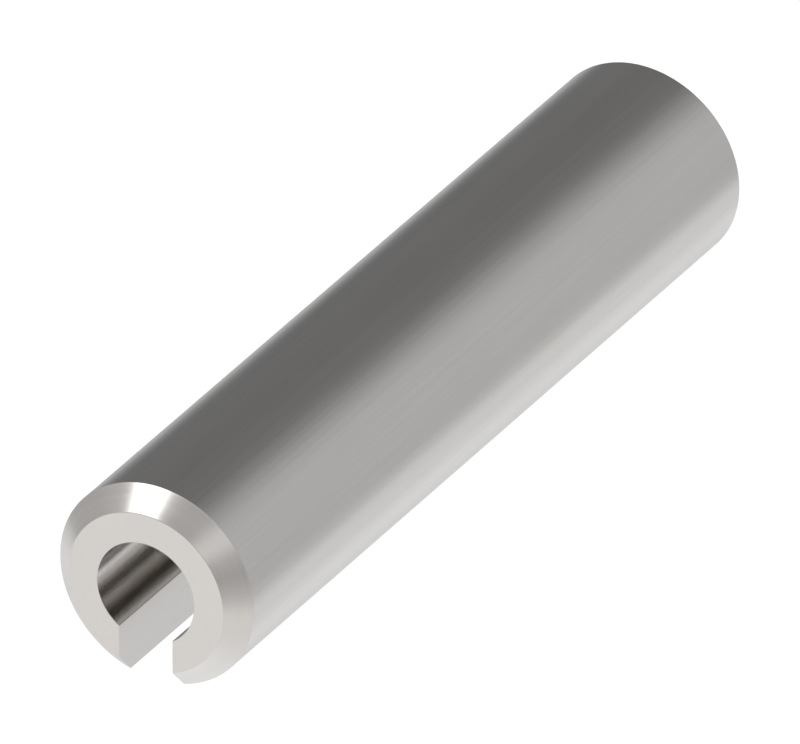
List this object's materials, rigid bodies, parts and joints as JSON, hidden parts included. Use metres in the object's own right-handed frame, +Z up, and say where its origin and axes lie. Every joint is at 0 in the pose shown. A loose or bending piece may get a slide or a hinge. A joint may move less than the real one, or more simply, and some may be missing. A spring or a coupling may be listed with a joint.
{
  "type": "spring roll pin",
  "caption": "Slotted spring steel tube with a chamfered lead-in at each end, pressed into a drilled hole to locate or lock two parts.",
  "frame": {"origin": "on the pin's axis, halfway between its two ends", "axes": "+X along the pin's axis, +Y across it, +Z up, with the slot opening downwards along -Z, as the pin lies"},
  "size_m": [0.03, 0.0066, 0.0064],
  "materials": {
    "spring_steel": "bright satin stainless spring steel, with fine lines along the shank"
  },
  "bodies": {
    "root": {"spring_pin": "spring_steel"}
  },
  "joints": []
}
